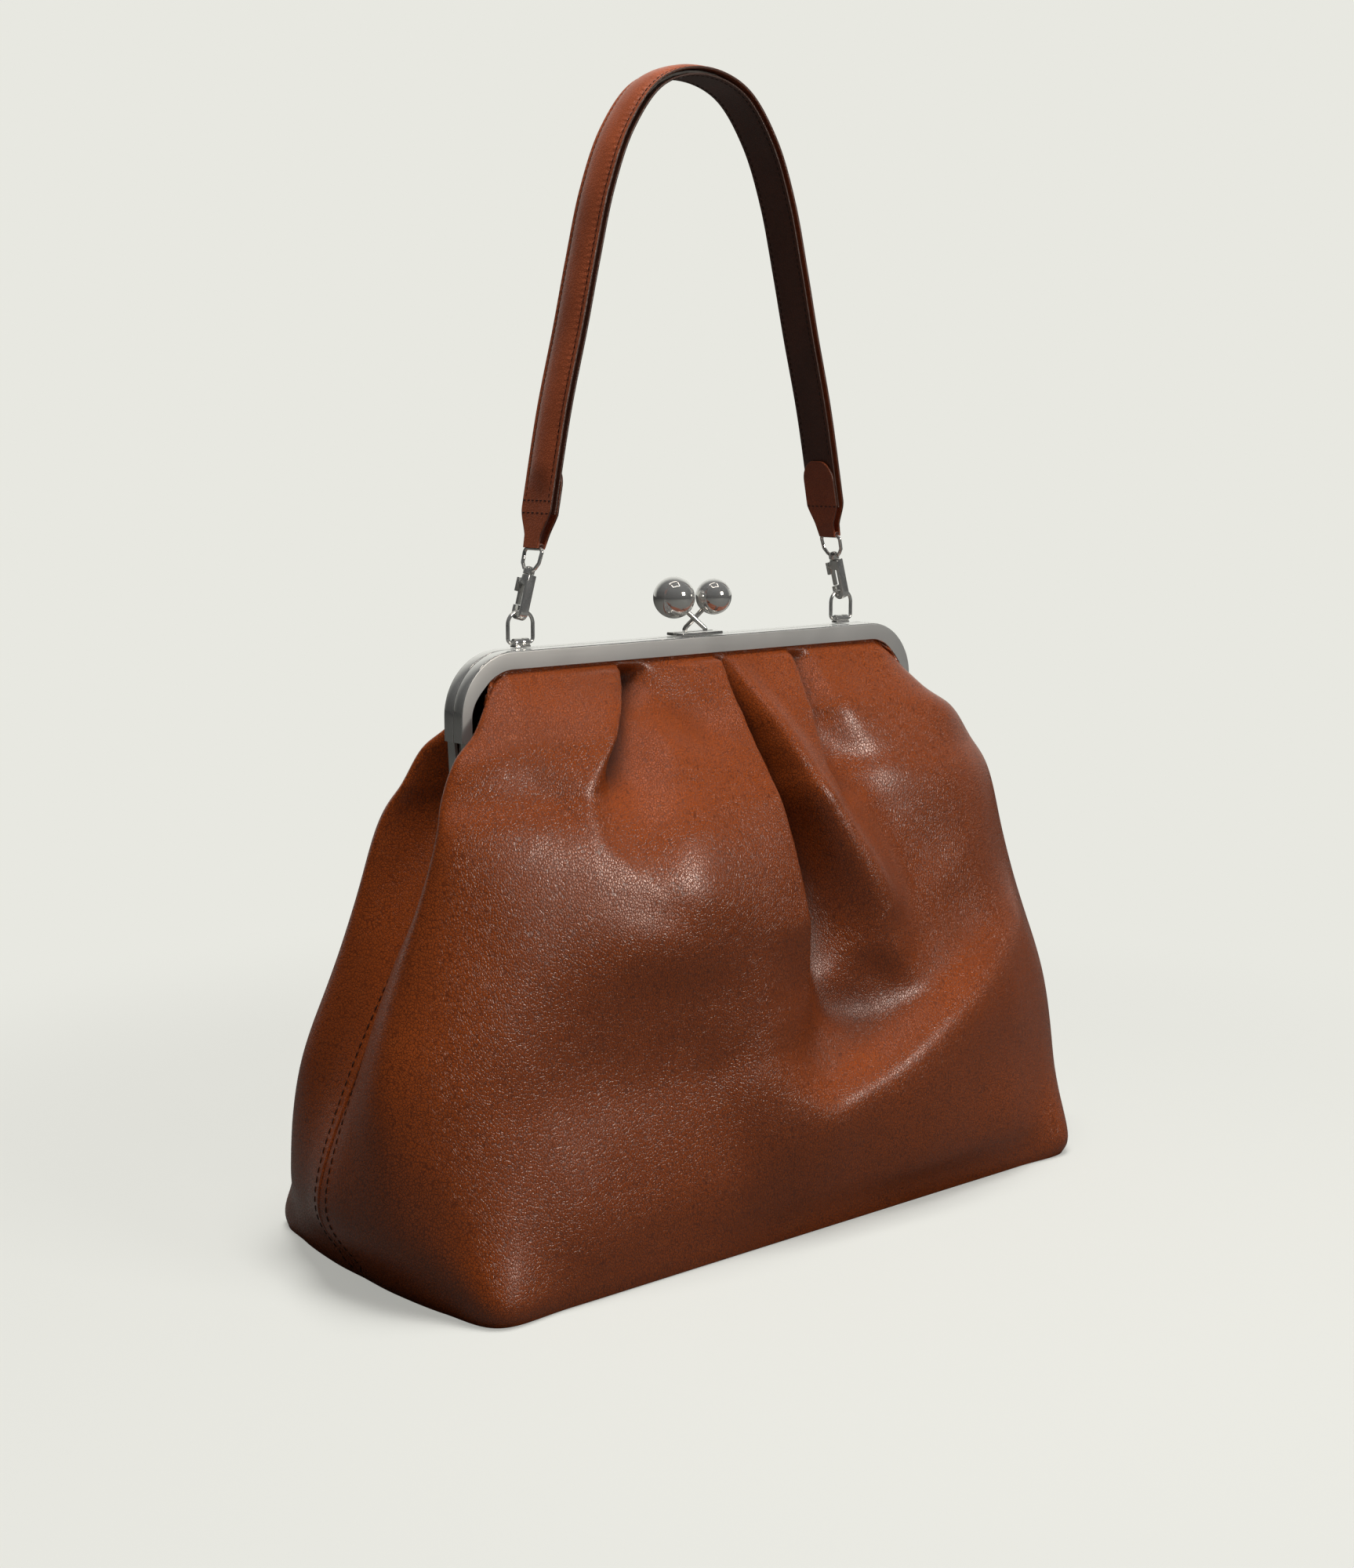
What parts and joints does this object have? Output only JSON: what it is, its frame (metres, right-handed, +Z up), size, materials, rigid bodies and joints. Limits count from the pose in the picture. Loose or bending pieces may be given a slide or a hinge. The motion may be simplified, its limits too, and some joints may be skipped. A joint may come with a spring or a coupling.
{
  "type": "shopper tote",
  "caption": "Leather frame bag with pleated body, hinged metal kiss-lock frame with crossed ball clasp, ring lugs and a clip-on strap handle on swivel snap hooks.",
  "frame": {"origin": "on the floor under the middle of the bag's base", "axes": "+X to the right along the frame's length, -Y to the front with the larger clasp ball's frame, +Z up"},
  "size_m": [0.4402, 0.1902, 0.5474],
  "materials": {
    "body_leather": "pebbled chestnut leather, semi-matt",
    "strap_leather": "smooth darker brown leather with stitched edges",
    "lining_cloth": "plain woven tan cotton lining",
    "board": null,
    "frame_metal": "satin nickel plate",
    "polished_metal": "polished nickel plate"
  },
  "bodies": {
    "bag_body": {"front_panel_lower": "body_leather", "back_panel_lower": "body_leather", "base_panel": "body_leather", "base_board": "board", "lining_bag": "lining_cloth", "left_hinge_rivet": "polished_metal", "right_hinge_rivet": "polished_metal"},
    "front_frame_half": {"front_frame": "frame_metal", "front_channel_filler": "board", "front_clasp_plate": "polished_metal", "front_clasp_stem": "polished_metal", "front_clasp_ball": "polished_metal", "front_panel_upper": "body_leather", "front_lining_flap": "lining_cloth"},
    "back_frame_half": {"back_frame": "frame_metal", "back_channel_filler": "board", "back_clasp_plate": "polished_metal", "back_clasp_stem": "polished_metal", "back_clasp_ball": "polished_metal", "back_panel_upper": "body_leather", "back_lining_flap": "lining_cloth", "left_ring_lug": "polished_metal", "right_ring_lug": "polished_metal"},
    "handle": {"strap_outer": "strap_leather", "strap_inner": "strap_leather", "strap_core": "board", "left_swivel_eye": "polished_metal", "right_swivel_eye": "polished_metal"},
    "left_ring_loop": {"left_ring": "polished_metal"},
    "right_ring_loop": {"right_ring": "polished_metal"},
    "left_hook": {"left_hook_body": "polished_metal", "left_gate_pin": "polished_metal"},
    "right_hook": {"right_hook_body": "polished_metal", "right_gate_pin": "polished_metal"},
    "left_gate": {"left_hook_gate": "polished_metal"},
    "right_gate": {"right_hook_gate": "polished_metal"}
  },
  "joints": [
    {"name": "front_frame_hinge", "type": "hinge", "parent": "bag_body", "child": "front_frame_half", "pos_m": [0, 0, 0.205], "axis": [1, 0, 0], "range_deg": [0, 40], "deforming": ["front_panel_upper", "front_lining_flap"]},
    {"name": "back_frame_hinge", "type": "hinge", "parent": "bag_body", "child": "back_frame_half", "pos_m": [0, 0, 0.205], "axis": [1, 0, 0], "range_deg": [-40, 0], "deforming": ["back_panel_upper", "back_lining_flap"]},
    {"name": "handle_swing", "type": "hinge", "parent": "back_frame_half", "child": "handle", "pos_m": [0, 0.00365, 0.2824], "axis": [1, 0, 0], "range_deg": [-90, 90]},
    {"name": "left_ring_turn", "type": "hinge", "parent": "back_frame_half", "child": "left_ring_loop", "pos_m": [-0.103, 0.00365, 0.2824], "axis": [1, 0, 0], "range_deg": [-90, 90]},
    {"name": "right_ring_turn", "type": "hinge", "parent": "back_frame_half", "child": "right_ring_loop", "pos_m": [0.103, 0.00365, 0.2824], "axis": [1, 0, 0], "range_deg": [-90, 90]},
    {"name": "left_hook_swivel", "type": "hinge", "parent": "handle", "child": "left_hook", "pos_m": [-0.103, 0.00365, 0.2966], "axis": [0.2756, 0, 0.9613], "range_deg": [-10, 10]},
    {"name": "right_hook_swivel", "type": "hinge", "parent": "handle", "child": "right_hook", "pos_m": [0.103, 0.00365, 0.2966], "axis": [-0.2756, 0, 0.9613], "range_deg": [-10, 10]},
    {"name": "left_gate_pivot", "type": "hinge", "parent": "left_hook", "child": "left_gate", "pos_m": [-0.09909, 0.00545, 0.31025], "axis": [-0.9613, 0, 0.2756], "range_deg": [0, 20], "stiffness_Nm_per_rad": 0.001, "springref_deg": -5.73},
    {"name": "right_gate_pivot", "type": "hinge", "parent": "right_hook", "child": "right_gate", "pos_m": [0.09909, 0.00545, 0.31025], "axis": [-0.9613, 0, -0.2756], "range_deg": [0, 20], "stiffness_Nm_per_rad": 0.001, "springref_deg": -5.73}
  ],
  "couplings": [
    {"joint": "back_frame_hinge", "follows": "front_frame_hinge", "ratio": -1},
    {"joint": "left_ring_turn", "follows": "handle_swing", "ratio": 1},
    {"joint": "right_ring_turn", "follows": "handle_swing", "ratio": 1}
  ]
}
